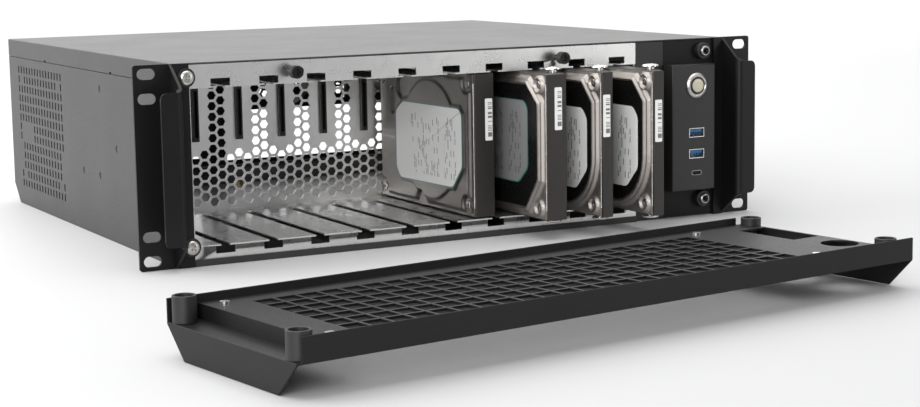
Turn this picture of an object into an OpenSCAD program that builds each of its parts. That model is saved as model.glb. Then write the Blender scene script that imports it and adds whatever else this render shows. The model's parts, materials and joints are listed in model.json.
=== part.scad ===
// Rack-mount enclosure for storage drives, with its front cover taken off and laid in front.
// Millimetres. +X is right as seen from the front, +Y points to the back, +Z is up.
// The origin is the centre of the rack slots, on the front face of the rack ears.

/* [Case] */
// Width of the case between its two side walls' outer faces
case_w = 431.8; // [425:0.1:560]
// Depth of the case behind the rack ears
case_d = 383; // [370:1:500]
// Height of the case and of the rack ears
case_h = 132.5; // [130:0.1:176]
// Thickness of the painted sheet
sheet = 1.2; // [1:0.1:1.5]
// Height of the lid's side lips
lid_lip = 13.8; // [8:0.1:18]
// Size of the cut-off lower corner at the back
rear_cut = 15; // [8:1:20]

/* [Rack ears and handles] */
// Reach of a rack ear beside the case
ear_reach = 25.4; // [22:0.1:32]
// Thickness of the ears and the handles
ear_t = 2; // [1.5:0.1:3]
// Distance of a rack slot's centre from the ear's outer edge
slot_edge = 8.75; // [8:0.05:12]
// Height of the outer rack slots above and below the middle
slot_rise_outer = 60.325; // [55:0.005:80]
// Height of the inner rack slots above and below the middle
slot_rise_inner = 44.45; // [30:0.005:50]
// Length of a rack slot
slot_len = 12; // [8:0.5:14]
// Width of a rack slot
slot_w = 7; // [5:0.1:8]
// Reach of the handles in front of the ears
handle_d = 22; // [18:1:40]
// Width of a handle's turned-out grip
grip_w = 15.4; // [12:0.1:24]
// Height of the slant at a handle's top and bottom
handle_cut = 17; // [10:1:18]

/* [Drive cage] */
// Number of drive bays
bays = 10; // [6:1:10]
// Distance from bay to bay
bay_pitch = 33.94; // [32:0.02:34.2]
// Thickness of the cage's bare steel sheet
cage_t = 1; // [0.8:0.1:1.2]
// Free height between the two slotted decks
deck_gap = 102.6; // [102.4:0.1:106]
// Height of the cage's middle, below the case's middle
cage_drop = 1.8; // [1:0.1:3]
// Depth from the rack ears to the backplane
plate_y = 149; // [148:1:175]
// Width of a guide slot in a deck
guide_w = 6.2; // [5:0.1:7.5]
// Width of a notch that lets a guide screw's head in
notch_w = 13.5; // [11:0.5:16]
// Height of such a notch
notch_h = 5; // [4:0.5:6]
// Distance across the flats of a vent hexagon
hex_flats = 6.1; // [4:0.1:6.3]

/* [Drives] */
// Length of a drive
drive_l = 147; // [140:1:148]
// Width of a drive, which stands upright in its bay
drive_w = 101.6; // [100:0.1:102]
// Thickness of the two thick drives
drive_thick = 26.1; // [20:0.1:26.1]
// Thickness of the two slim drives
drive_slim = 20.2; // [18:0.1:26.1]
// How far in front of the rack ears the second drive is drawn out
draw_2 = 40; // [0:1:80]
// How far the third drive is drawn out
draw_3 = 47; // [0:1:80]
// How far the fourth drive is drawn out
draw_4 = 60; // [0:1:80]

/* [Control panel] */
// Width of the raised control box
box_w = 38.2; // [34:0.1:40]
// Height of the raised control box
box_h = 93; // [84:0.5:93]
// How far the control box stands forward
box_d = 12; // [12:0.5:16]
// Radius of the power button's cap
cap_r = 6.1; // [5.5:0.05:8.2]
// Travel of the power button
press = 1.5; // [1:0.1:2]

/* [Front cover] */
// Distance of the front cover's ends inside the case's side walls
cover_inset = 2.9; // [2:0.1:6]
// Distance of the front cover's long edges inside the case's top and bottom
cover_edge = 3.45; // [2:0.05:3.6]
// Height of the cover's end flanges, on which it lies
foot_h = 17; // [12:1:24]
// Height of the cover's long flanges
flange_h = 13.5; // [12:0.5:20]
// Outer radius of a cover boss
boss_r = 6.4; // [6.2:0.1:7]
// Where the taken-off cover lies, to the right of the case's middle
cover_x = -91; // [-150:1:150]
// Where the taken-off cover lies, in front of the rack ears
cover_y = -276; // [-400:1:-270]
// Turn of the taken-off cover against the case
cover_turn = 8; // [-10:0.1:10]

/* [Hidden] */
$fn = 64;
eps = 0.01;
half_w = case_w / 2;
half_h = case_h / 2;
panel_w = case_w + 2 * ear_reach;
slot_x = panel_w / 2 - slot_edge;

// Clearances: flat faces, sliding pieces, turning shafts
gap = 0.1;
fit = 0.3;
run = 0.06;

// Case levels
lid_under = half_h - sheet;
wall_top = half_h - lid_lip - 0.15;
ear_lap = 9;
ear_inner = half_w - ear_lap;
rear_y = case_d - sheet - gap;
leg_d = 26;
hem_h = 4.2;
handle_inset = 0.4;
strip_w = [11, 7.6];
lid_screw_xs = [-half_w + 54, 0, half_w - 54];
lid_screw_z = half_h - 3.6;
lid_screw_r = 1.5;

// Side vents: rows from the top, columns from the front
vent_rows = 13;
vent_cols = 16;
vent_pitch_y = 7.5;
vent_pitch_z = 7.6;
vent_slot = [2.7, 5.4];
vent_y = case_d - 140;
vent_z = 43;

// Cage places
cage_z = -cage_drop;
deck_half = deck_gap / 2;
cage_left = -half_w + 12;
bay_1_x = cage_left + 21.5;
cage_right = bay_1_x + (bays - 1) * bay_pitch + 16.3;
rail_top = half_h - sheet - 0.15;
screw_xs = [bay_1_x + bay_pitch + 15.5, bay_1_x + (bays - 3) * bay_pitch + 16.9];
screw_z = cage_z + deck_half + 8;
screw_r = 2;

// Backplane vents and connectors
hex_col = bay_pitch / 5;
hex_row = hex_col / cos(30);
conn = [4.7, 40];
conn_dx = 3.2;
conn_z = cage_z + 20;
conn_front = plate_y - 3;
board_t = 1.6;

// Drives: bay, front face, thickness and casting thickness of each
drive_bay = [bays - 3, bays - 2, bays - 1, bays];
plug_gap = 0.6;
drive_y = [plate_y - drive_l - plug_gap, -draw_2, -draw_3, -draw_4];
drive_t = [drive_thick, drive_thick, drive_slim, drive_slim];
cover_rise = [4.2, 4.2, 4.6, 4.6];
cast_t = drive_t - cover_rise;
hole_from_pcb = 6.35;
hole_ys = [drive_l - 130.1, drive_l - 28.5];
shoulder_r = guide_w / 2 - 0.2;
shoulder_h = deck_half + cage_t - drive_w / 2 + fit;
guide_head = [shoulder_r + 3, 2];

// Cover outline, and the posts on the case that its bosses slip over
cover_l = case_w - 2 * cover_inset;
cover_w = case_h - 2 * cover_edge;
post_x = [boss_r - cover_l / 2, cover_l / 2 - 15.5];
post_z = cover_w / 2 - sheet - boss_r - gap;
post_r = 6;
post_end = [-3, -4.5];
cover_up = 1.8;
post_screw_r = 4.6;
post_screw_shank = 2;

function post_at(s) = s * post_z + cover_up;

// Control panel places, down from the top of the raised box
box_r = half_w - 14;
box_l = box_r - box_w;
box_top = post_z - post_r - 1.3;
box_bottom = box_top - box_h;
ports_x = box_l + 21.5;
button_z = box_top - 15.4;
usb_z = [box_top - 50.2, box_top - 65.8];
usb_c_z = box_top - 80;
usb_size = [13.3, 6.8];
usb_c_size = [9, 3.4];
usb_depth = 14;
barrel_r = cap_r + run + 1.45;
cap_front = -box_d - 2.4;
cap_t = 6;
stem_r = 2.94;
stem_l = 4;

// Rear openings
psu = [150, 86];
psu_x = -half_w + 86;
io = [158.75, 44.45];
io_x = 49;
io_z = -24;
fan = 60;
fan_t = 25;
fan_xs = [14, 84];
fan_z = 29;
fan_hole = 25;
slot_n = 4;
slot_pitch = 20.32;
slot_x0 = half_w - 75;
slot_size = [15, 96];
slot_z = 8;
ledge_z = slot_z + slot_size[1] / 2 + 3;
slot_screw_in = 7.5;
slot_screw_r = 1.2;
slot_cover_t = 0.9;

// Mainboard standoffs
board_span = [157.48, 154.94];
board_c = [52, case_d - 99.5];
standoff_h = 6.4;

// Cover levels above the surface it lies on
plate_z = foot_h;
tray_z = foot_h + 8;
tray_x = [-cover_l / 2 + 17, cover_l / 2 - 15];
tray_screw_r = 1.5;
cell = 13.4;
bar = 2;
cell_cols = 23;
cell_rows = 7;
grid_x = tray_x[0] + 22;
grid_l = cell_cols * cell + bar;
grid_w = cell_rows * cell + bar;

// Centre line of a bay's guide slots, bays counted from 1 at the left
function bay_x(n) = bay_1_x + (n - 1) * bay_pitch;

// A few places of the vent field stay closed, where inner pieces are fixed
function vent_open(r, c) =
    !((r == 1 || r == vent_rows - 2) && (c == 1 || c == vent_cols - 2)) &&
    !((r == 6 || r == 7) && c > 10 && c < vent_cols - 1) &&
    !(r > 7 && r < 11 && (c == 0 || c == vent_cols - 1));

// A box from its low corner to its high corner
module block(low, high) {
    translate(low) cube(high - low);
}

// A flat outline in X and Z, made into a plate from y to y + t
module plate_xz(y, t) {
    translate([0, y + t, 0]) rotate([90, 0, 0]) linear_extrude(t) children();
}

// A flat outline in Y and Z, made into a plate from x to x + t
module plate_yz(x, t) {
    translate([x, 0, 0]) rotate([90, 0, 90]) linear_extrude(t) children();
}

// A cylinder along Y from y0 to y1
module rod_y(x, z, r, y0, y1) {
    translate([x, y0, z]) rotate([-90, 0, 0]) cylinder(h = y1 - y0, r = r);
}

// A slot outline with round ends, along the first axis
module slot_2d(l, w) {
    square([l - w, w], center = true);
    for (s = [-1, 1]) translate([s * (l - w) / 2, 0]) circle(w / 2);
}

// A rectangle with round corners, about the origin
module round_rect(l, w, r) {
    square([l - 2 * r, w], center = true);
    square([l, w - 2 * r], center = true);
    for (sx = [-1, 1]) for (sy = [-1, 1])
        translate([sx * (l / 2 - r), sy * (w / 2 - r)]) circle(r);
}

// A hexagon with flat top and bottom
module hex_2d() {
    circle(hex_flats / 2 / cos(30), $fn = 6);
}

// A cross recess for a screwdriver, cut into a head's front face at y
module cross_cut(x, y, z, l, depth) {
    for (a = [0, 90]) translate([x, y, z]) rotate([0, a, 0])
        translate([-l / 2, -eps, -0.6]) cube([l, depth + eps, 1.2]);
}

// Case: floor with a turned-up front edge, side walls with vents, ledges that carry the lid
module side_outline() {
    polygon([[ear_t, -half_h], [case_d - rear_cut, -half_h], [case_d, -half_h + rear_cut],
        [case_d, wall_top], [ear_t, wall_top]]);
}

module side_wall(x) {
    plate_yz(x, sheet) difference() {
        side_outline();
        for (r = [0 : vent_rows - 1]) for (c = [0 : vent_cols - 1]) if (vent_open(r, c))
            translate([vent_y + c * vent_pitch_y, vent_z - r * vent_pitch_z])
                square(vent_slot, center = true);
    }
}

module base_tray() {
    inner_k = sheet * tan(22.5);
    ledge_y = [ear_t + leg_d + 6, case_d - 6];
    ledge_z0 = wall_top - 10;
    clinch_r = 2.6;
    clinch_depth = 0.4;
    clinches = [[115, 0.7], [148, 40.6], [154, -21.8], [192, -21.8]];
    hem_x = [strip_w[0] + handle_inset + fit - half_w, cage_right];
    hem_y = -sheet - gap;
    color("#2b2b2d") difference() {
        union() {
            plate_yz(-half_w, case_w) polygon([[ear_t, -half_h], [case_d - rear_cut, -half_h],
                [case_d, -half_h + rear_cut], [case_d, -half_h + rear_cut + sheet + inner_k],
                [case_d - rear_cut - inner_k, -half_h + sheet], [ear_t, -half_h + sheet]]);
            side_wall(-half_w);
            side_wall(half_w - sheet);
            block([hem_x[0], hem_y, -half_h], [hem_x[1], ear_t + eps, -half_h + sheet]);
            block([hem_x[0], hem_y, -half_h], [hem_x[1], hem_y + sheet, -half_h + hem_h]);
            for (s = [0, 1]) mirror([s, 0, 0]) {
                block([half_w - 2 * sheet - gap, ledge_y[0], ledge_z0],
                    [half_w - sheet + eps, ledge_y[1], wall_top]);
                block([half_w - 2 * sheet - gap, ledge_y[0], ledge_z0],
                    [half_w - sheet - gap, ledge_y[1], lid_under]);
            }
        }
        for (s = [-1, 1]) for (p = clinches)
            translate([s * half_w, p[0], p[1]]) rotate([0, 90, 0])
                cylinder(h = 2 * clinch_depth, r = clinch_r, center = true);
    }
}

module lid() {
    front_y = 0.3;
    tab_ys = [122.7, 281];
    tab = [4, 1.6];
    rear_lip = 6;
    color("#2f2f31") difference() {
        union() {
            block([-half_w, ear_t + gap, lid_under], [half_w, case_d, half_h]);
            block([-ear_inner + gap, front_y, lid_under], [ear_inner - gap, ear_t + 2, half_h]);
            for (s = [0, 1]) mirror([s, 0, 0]) block([half_w - sheet, ear_t + gap,
                half_h - lid_lip], [half_w, case_d, half_h]);
            block([-half_w, case_d - sheet, half_h - rear_lip], [half_w, case_d, half_h]);
        }
        for (s = [-1, 1]) for (y = tab_ys)
            translate([s * half_w, y, half_h - lid_lip]) cube([3 * sheet, tab[0], 2 * tab[1]],
                center = true);
        for (x = lid_screw_xs) rod_y(x, lid_screw_z, lid_screw_r + gap, case_d - 3, case_d + 1);
    }
}

module lid_screws() {
    head = [2.3, 1.5];
    color("#1c1c1e") for (x = lid_screw_xs) difference() {
        union() {
            rod_y(x, lid_screw_z, head[0], case_d, case_d + head[1]);
            rod_y(x, lid_screw_z, lid_screw_r, case_d - 5, case_d + eps);
        }
        translate([0, 2 * case_d, 0]) mirror([0, 1, 0])
            cross_cut(x, case_d - head[1], lid_screw_z, 3, 0.8);
    }
}

// Back: openings for the power supply, the board's sockets, fans and slots
module rear_panel() {
    bottom = -half_h + rear_cut + sheet - 1.5 * gap;
    notch = 2 * lid_screw_r + 0.4;
    ledge_d = 13;
    ledge_side = 10;
    color("#2b2b2d") difference() {
        union() {
            plate_xz(rear_y - sheet, sheet) difference() {
                translate([-half_w + sheet + gap / 2, bottom])
                    square([case_w - 2 * sheet - gap, lid_under - gap - bottom]);
                translate([psu_x, 0]) square(psu, center = true);
                translate([io_x, io_z]) square(io, center = true);
                for (i = [0 : slot_n - 1]) translate([slot_x0 + i * slot_pitch, slot_z])
                    square(slot_size, center = true);
                for (x = fan_xs) translate([x, fan_z]) fan_vents();
                for (x = lid_screw_xs) translate([x - notch / 2, lid_screw_z - notch / 2])
                    square([notch, half_h]);
            }
            block([slot_x0 - ledge_side, rear_y - sheet - ledge_d, ledge_z - sheet],
                [slot_x0 + (slot_n - 1) * slot_pitch + ledge_side, rear_y - eps, ledge_z]);
        }
        for (i = [0 : slot_n - 1])
            translate([slot_x0 + i * slot_pitch, rear_y - slot_screw_in, ledge_z - 3])
                cylinder(h = 6, r = slot_screw_r + 0.05);
    }
}

// Vent hexagons over one fan, with its four screw holes
module fan_vents() {
    reach = fan / 2 - 2 - hex_flats / 2;
    n = ceil(reach / hex_col);
    for (c = [-n : n]) for (r = [-n : n]) {
        z = (r + (c % 2 == 0 ? 0 : 0.5)) * hex_row;
        if (norm([c * hex_col, z]) < reach) translate([c * hex_col, z]) hex_2d();
    }
    for (sx = [-1, 1]) for (sz = [-1, 1]) translate([sx, sz] * fan_hole) circle(2.2);
}

// Rack ears: a slotted plate with a leg inside the case's side wall
module ear(side) {
    leg_z = [6 - half_h, half_h - 22];
    color("#242426") mirror([side < 0 ? 1 : 0, 0, 0]) {
        plate_xz(0, ear_t) difference() {
            translate([ear_inner, -half_h]) square([panel_w / 2 - ear_inner, case_h]);
            for (z = [slot_rise_outer, slot_rise_inner, -slot_rise_inner, -slot_rise_outer])
                translate([slot_x, z]) slot_2d(slot_len, slot_w);
        }
        block([half_w - sheet - ear_t, ear_t - eps, leg_z[0]],
            [half_w - sheet, ear_t + leg_d, leg_z[1]]);
    }
}

// A handle seen from above: its wall, a round bend and the turned-out grip
module handle_fold(x, r) {
    translate([x, r - handle_d - eps]) square([ear_t, handle_d - r + eps]);
    translate([x + r - eps, -handle_d]) square([grip_w - r + eps, ear_t]);
    intersection() {
        translate([x + r, r - handle_d]) difference() {
            circle(r);
            circle(r - ear_t);
        }
        translate([x, -handle_d]) square(r);
    }
}

// Handles: a foot strip on the ear, a wall standing forward and a turned-out grip
module handle(side, strip, lobes) {
    wall_x = half_w - handle_inset;
    grip_z = half_h - handle_cut;
    bend_r = 4.5;
    corner_r = 4;
    lobe_r = post_r + 0.4;
    color("#202022") mirror([side < 0 ? 1 : 0, 0, 0]) {
        intersection() {
            translate([0, 0, -half_h]) linear_extrude(case_h) handle_fold(wall_x, bend_r);
            plate_yz(wall_x - 1, grip_w + 2) polygon([[0, half_h], [-handle_d, grip_z],
                [-handle_d, -grip_z], [0, -half_h]]);
            plate_xz(-handle_d - 1, handle_d + 2) {
                translate([wall_x - 1, -half_h]) square([bend_r + 1, case_h]);
                translate([wall_x + grip_w / 2, 0]) round_rect(grip_w, 2 * grip_z, corner_r);
            }
        }
        plate_xz(-ear_t, ear_t) difference() {
            union() {
                translate([wall_x - strip, -half_h]) square([strip + eps, case_h]);
                if (lobes) for (s = [-1, 1]) translate([-post_x[0], post_at(s)]) circle(lobe_r);
            }
            if (lobes) for (s = [-1, 1]) translate([-post_x[0], post_at(s)])
                circle(post_screw_shank + 2 * gap);
            translate([wall_x + eps, -half_h]) square([lobe_r, case_h]);
        }
    }
}

// Drive cage: a slotted deck whose front edge is a notched rail
module deck(screws) {
    back_end = plate_y - 24;
    color("#c9cbcc") difference() {
        union() {
            block([cage_left, 0, deck_half], [cage_right, plate_y, deck_half + cage_t]);
            plate_xz(0, cage_t) difference() {
                translate([cage_left, deck_half])
                    square([cage_right - cage_left, rail_height(screws)]);
                for (n = [1 : bays]) translate([bay_x(n) - notch_w / 2, deck_half - 1])
                    square([notch_w, notch_h + cage_t + 1]);
                if (screws) for (x = screw_xs) {
                    translate([x, screw_z - cage_z]) circle(screw_r + run);
                    translate([x + 7.5, screw_z - cage_z]) circle(screw_r + 0.2);
                }
            }
            block([cage_left, 0, deck_half + rail_height(screws) - cage_t],
                [cage_right, 14, deck_half + rail_height(screws)]);
        }
        for (n = [1 : bays]) {
            block([bay_x(n) - guide_w / 2, -1, deck_half - 1],
                [bay_x(n) + guide_w / 2, back_end, deck_half + cage_t + 1]);
            translate([bay_x(n), back_end, deck_half - 1]) cylinder(h = cage_t + 2, r = guide_w / 2);
        }
    }
}

function rail_height(top) = top ? rail_top - cage_z - deck_half : rail_top + cage_z - deck_half;

module cage_top() {
    translate([0, 0, cage_z]) deck(true);
}

module cage_bottom() {
    translate([0, 0, cage_z]) mirror([0, 0, 1]) deck(false);
}

module cage_side(x) {
    color("#c2c4c6") block([x, cage_t + gap, cage_z - deck_half],
        [x + cage_t, plate_y, cage_z + deck_half]);
}

// Backplane: a vented plate, its sockets and the small boards behind them
module backplane_plate() {
    window = conn + [0.4, 0.6];
    low_rows = 5;
    all_rows = 13;
    color("#b9bcbe") plate_xz(plate_y, cage_t) difference() {
        translate([cage_left, -rail_top]) square([cage_right - cage_left, 2 * rail_top]);
        for (n = [1 : bays]) translate([bay_x(n) + conn_dx, 0]) {
            translate([0, conn_z]) square(window, center = true);
            for (c = [-2 : 2]) for (r = [0 : all_rows - 1]) {
                odd = (n * 5 + c) % 2 == 0 ? 0 : 0.5;
                z = cage_z - deck_half + 6 + (r + odd) * hex_row;
                if ((r < low_rows || abs(c) == 2) && z < cage_z + deck_half - 4
                    && bay_x(n) + conn_dx + c * hex_col < cage_right - 5)
                    translate([c * hex_col, z]) hex_2d();
            }
        }
    }
}

module backplane_boards() {
    color("#1f4a33") for (n = [1 : bays]) translate([bay_x(n) + conn_dx, plate_y + 2, conn_z])
        translate([-6, 0, -conn[1] / 2 - 4]) cube([12, board_t, conn[1] + 8]);
}

module sata_connectors() {
    key = [2.2, 34, 4];
    color("#141415") for (n = [1 : bays]) difference() {
        translate([bay_x(n) + conn_dx - conn[0] / 2, conn_front, conn_z - conn[1] / 2])
            cube([conn[0], plate_y + 2 - conn_front, conn[1]]);
        translate([bay_x(n) + conn_dx - key[0] / 2, conn_front - eps, conn_z - key[1] / 2])
            cube([key[0], key[2], key[1]]);
    }
}

// Control panel: flat plates, the raised box, the button and the sockets
module end_plate() {
    color("#1d1d1f") block([cage_right + gap, 0, -half_h + 1], [box_l - gap, sheet, lid_under - gap]);
}

module control_plate() {
    color("#1d1d1f") difference() {
        block([box_l, 0, -half_h + 1], [ear_inner - gap, sheet, lid_under - gap]);
        rod_y(ports_x, button_z, barrel_r + fit, -1, sheet + 1);
        block([ports_x - 9, -1, usb_c_z - 5], [ports_x + 9, sheet + 1, usb_z[0] + 7]);
        for (s = [-1, 1]) rod_y(post_x[1], post_at(s), post_screw_shank + gap, -1, sheet + 1);
    }
}

module control_box() {
    wall = 2;
    color("#19191b") difference() {
        block([box_l, -box_d, box_bottom], [box_r, 0, box_top]);
        block([box_l + wall, wall - box_d, box_bottom + wall], [box_r - wall, 1, box_top - wall]);
        rod_y(ports_x, button_z, barrel_r + gap, -box_d - 1, 1);
        for (z = usb_z) translate([ports_x, 1 - box_d, z])
            cube([usb_size[0] + 2 * gap, 8, usb_size[1] + 2 * gap], center = true);
        plate_xz(-box_d - 1, 5) translate([ports_x, usb_c_z])
            slot_2d(usb_c_size[0] + 2 * gap, usb_c_size[1] + 2 * gap);
    }
}

module button_bezel() {
    rim_r = barrel_r + 1.7;
    rim_h = 2.2;
    barrel_back = 8;
    color("#d5d5d3") translate([ports_x, -box_d, button_z]) rotate([-90, 0, 0])
        rotate_extrude() polygon([[cap_r + run, -rim_h], [barrel_r - 0.4, -rim_h],
            [rim_r, -0.7], [rim_r, 0], [barrel_r, 0], [barrel_r, box_d + barrel_back],
            [cap_r + run, box_d + barrel_back]]);
}

module power_button() {
    color("#e9e3cf") {
        rod_y(ports_x, button_z, cap_r, cap_front, cap_front + cap_t);
        rod_y(ports_x, button_z, stem_r, cap_front + cap_t - eps, cap_front + cap_t + stem_l);
    }
}

module button_switch() {
    front = cap_front + cap_t + press + fit;
    color("#262626") difference() {
        rod_y(ports_x, button_z, cap_r, front, front + 22.2);
        rod_y(ports_x, button_z, stem_r + run, front - 1, front + stem_l + 2);
    }
}

module usb_shells() {
    wall = 0.5;
    back = 1;
    color("#c4c6c8") for (z = usb_z) translate([ports_x, -box_d - 0.3, z]) difference() {
        translate([-usb_size[0] / 2, 0, -usb_size[1] / 2]) cube([usb_size[0], usb_depth, usb_size[1]]);
        translate([wall - usb_size[0] / 2, -1, wall - usb_size[1] / 2])
            cube([usb_size[0] - 2 * wall, usb_depth + 1 - back, usb_size[1] - 2 * wall]);
    }
}

module usb_tongues() {
    inner = [usb_size[0] - 1.2, usb_size[1] - 1.2];
    tongue = [11, 1.9];
    color("#1565c8") for (z = usb_z) translate([ports_x, -box_d - 0.3, z]) {
        translate([-inner[0] / 2, usb_depth - 4.1, -inner[1] / 2]) cube([inner[0], 3, inner[1]]);
        translate([-tongue[0] / 2, 1.2, 0.4]) cube([tongue[0], usb_depth - 5.2, tongue[1]]);
    }
}

module usb_c_shell() {
    wall = 0.35;
    back = 1;
    color("#b5b7b9") translate([ports_x, 0, usb_c_z]) difference() {
        plate_xz(-box_d - 0.3, usb_depth) slot_2d(usb_c_size[0], usb_c_size[1]);
        plate_xz(-box_d - 1, usb_depth + 0.7 - back)
            slot_2d(usb_c_size[0] - 2 * wall, usb_c_size[1] - 2 * wall);
    }
}

module usb_c_tongue() {
    color("#151515") translate([ports_x, -box_d - 0.3, usb_c_z]) {
        translate([-3.3, 1, -0.35]) cube([6.6, usb_depth - 2.05, 0.7]);
        translate([-3, usb_depth - 4.1, -1.1]) cube([6, 3, 2.2]);
    }
}

module io_board() {
    y = usb_depth - box_d - 0.3;
    color("#1d4f35") block([ports_x - 15, y, usb_c_z - 12], [ports_x + 15, y + board_t, usb_z[0] + 11]);
}

// Black thumbscrews in the top rail, standing part way out
module thumbscrew(x) {
    head_r = 4.3;
    head_y = [-12, -6];
    collar = [2.9, -4.4];
    tip_y = 7;
    flutes = 18;
    flute_r = 0.55;
    color("#161618") difference() {
        union() {
            rod_y(x, screw_z, head_r, head_y[0], head_y[1]);
            rod_y(x, screw_z, collar[0], head_y[1] - eps, collar[1]);
            rod_y(x, screw_z, screw_r, collar[1] - eps, tip_y);
        }
        for (i = [0 : flutes - 1]) translate([x, 0, screw_z]) rotate([0, i * 360 / flutes, 0])
            rod_y(head_r + flute_r / 2, 0, flute_r, head_y[0] - 1, head_y[1] + 1);
        cross_cut(x, head_y[0], screw_z, 4.6, 1.4);
    }
}

// Posts that the cover's bosses slip over, each with a screw in its end
module cover_posts() {
    color("#151517") for (i = [0, 1]) for (s = [-1, 1]) difference() {
        rod_y(post_x[i], post_at(s), post_r, post_end[i], i == 0 ? -ear_t : 0);
        rod_y(post_x[i], post_at(s), post_screw_shank + gap, post_end[i] - 1, 1);
    }
}

module post_screws() {
    head_h = 2.2;
    color("#d0d0ce") for (i = [0, 1]) for (s = [-1, 1]) difference() {
        union() {
            translate([post_x[i], post_end[i] - head_h, post_at(s)]) rotate([-90, 0, 0])
                rotate_extrude() polygon([[0, 0], [post_screw_r - 1.4, 0], [post_screw_r, 1.2],
                    [post_screw_r, head_h], [0, head_h]]);
            rod_y(post_x[i], post_at(s), post_screw_shank, post_end[i] - eps, i == 0 ? -gap : sheet + 4);
        }
        cross_cut(post_x[i], post_end[i] - head_h, post_at(s), 5.6, 1.3);
    }
}

// Inside, at the back: standoffs, slot covers and fans
module board_standoffs() {
    color("#c8a24a") for (sx = [-1, 1]) for (sy = [-1, 1])
        translate([board_c[0] + sx * board_span[0] / 2, board_c[1] + sy * board_span[1] / 2,
            -half_h + sheet]) difference() {
            cylinder(h = standoff_h, r = 3.2, $fn = 6);
            translate([0, 0, 1]) cylinder(h = standoff_h, r = 1.25);
        }
}

module slot_covers() {
    cover = [18.4, 104];
    step = 13;
    t = slot_cover_t;
    y = rear_y - sheet - gap;
    bend_z = ledge_z - sheet - step - 1;
    color("#9fa2a5") for (i = [0 : slot_n - 1]) translate([slot_x0 + i * slot_pitch, 0, 0])
        difference() {
            plate_yz(-cover[0] / 2, cover[0]) {
                translate([y - t, ledge_z + t - cover[1]]) square([t, bend_z - ledge_z + cover[1]]);
                translate([y - step - t, bend_z]) square([step + t, t]);
                translate([y - step - t, bend_z]) square([t, ledge_z + t - bend_z]);
                translate([y - step - t, ledge_z]) square([step + t, t]);
            }
            translate([0, rear_y - slot_screw_in, ledge_z - 1]) cylinder(h = 4, r = slot_screw_r + 0.5);
        }
}

module slot_screws() {
    color("#b9babb") for (i = [0 : slot_n - 1])
        translate([slot_x0 + i * slot_pitch, rear_y - slot_screw_in, ledge_z]) {
            translate([0, 0, slot_cover_t]) cylinder(h = 2.2, r = 3.2);
            translate([0, 0, -4]) cylinder(h = 5, r = slot_screw_r);
        }
}

// A fan's square outline with its screw holes, and the ring that the blades turn in
module fan_outline() {
    difference() {
        square(fan, center = true);
        circle(fan / 2 - 1.4);
        for (sx = [-1, 1]) for (sz = [-1, 1]) translate([sx, sz] * fan_hole) circle(2.1);
    }
}

module fan_frame(x) {
    y1 = rear_y - sheet - gap;
    hub_r = 15;
    hub_t = 4;
    strut_w = 3;
    color("#18181a") translate([x, 0, fan_z]) {
        plate_xz(y1 - fan_t, fan_t - hub_t) fan_outline();
        plate_xz(y1 - hub_t, hub_t) difference() {
            union() {
                fan_outline();
                circle(hub_r);
                for (a = [0, 90]) rotate(a) square([fan - 1, strut_w], center = true);
            }
            circle(1.5 + run);
        }
    }
}

module fan_rotor(x) {
    y1 = rear_y - sheet - gap - 4;
    y0 = y1 - 19;
    blades = 7;
    color("#222225") {
        rod_y(x, fan_z, 14, y0, y1 - 0.4);
        rod_y(x, fan_z, 1.5, y1 - 0.5, y1 + 2.6);
        intersection() {
            for (i = [0 : blades - 1]) translate([x, (y0 + y1) / 2, fan_z])
                rotate([0, i * 360 / blades, 0]) rotate([40, 0, 0])
                    translate([13, -11, -0.7]) cube([20, 22, 1.4]);
            difference() {
                rod_y(x, fan_z, fan / 2 - 2.2, y0 + 1, y1 - 1.4);
                rod_y(x, fan_z, 13.8, y0, y1);
            }
        }
    }
}

module fan_screws() {
    color("#8d8f92") for (x = fan_xs) for (sx = [-1, 1]) for (sz = [-1, 1]) {
        rod_y(x + sx * fan_hole, fan_z + sz * fan_hole, 3.4, rear_y, rear_y + 1.6);
        rod_y(x + sx * fan_hole, fan_z + sz * fan_hole, 2, rear_y - 11, rear_y + eps);
    }
}

// Drives: casting, stepped cover, circuit board and guide screws
function pcb_x(n) = bay_x(drive_bay[n]) + hole_from_pcb;
function cast_x(n) = pcb_x(n) - cast_t[n];

module drive_case(n) {
    y = drive_y[n];
    board_cut = [3.4, 58, 5];
    front_step = [0.5, 12];
    socket_y = 9;
    color("#2a2a2b") difference() {
        block([cast_x(n), y, cage_z - drive_w / 2], [pcb_x(n), y + drive_l, cage_z + drive_w / 2]);
        block([pcb_x(n) - board_cut[0], y + board_cut[1], cage_z - drive_w / 2 + board_cut[2]],
            [pcb_x(n) + 1, y + drive_l - socket_y - 2, cage_z + drive_w / 2 - board_cut[2]]);
        block([bay_x(drive_bay[n]) + front_step[0], y - 1, cage_z - drive_w],
            [pcb_x(n) + 1, y + front_step[1], cage_z + drive_w]);
        block([bay_x(drive_bay[n]) + conn_dx - conn[0] / 2 - 0.4, y + drive_l - socket_y,
            conn_z - conn[1] / 2 - 0.6], [pcb_x(n) + 1, y + drive_l + 1, conn_z + conn[1] / 2 + 0.6]);
        for (hy = hole_ys) for (s = [-1, 1])
            translate([bay_x(drive_bay[n]), y + hy, cage_z + s * (drive_w / 2 - 2.9)])
                cylinder(h = 6, r = 1.6, center = true);
    }
}

// Outline of a drive cover in Y and Z: one corner cut straight, the other round
module cover_outline(n, inset) {
    corner_shrink = 0.6;
    cut = 16 - inset * corner_shrink;
    bend = 36 - inset * corner_shrink;
    front_edge = 2;
    rear_edge = 4;
    side_edge = 2.5;
    y0 = drive_y[n] + front_edge + inset;
    y1 = drive_y[n] + drive_l - rear_edge - inset;
    z0 = cage_z - drive_w / 2 + side_edge + inset;
    z1 = cage_z + drive_w / 2 - side_edge - inset;
    polygon(concat([[y0 + cut, z1], [y0, z1 - cut]],
        [for (a = [180 : 15 : 270]) [y0 + bend + bend * cos(a), z0 + bend + bend * sin(a)]],
        [[y1, z0], [y1, z1]]));
}

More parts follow.
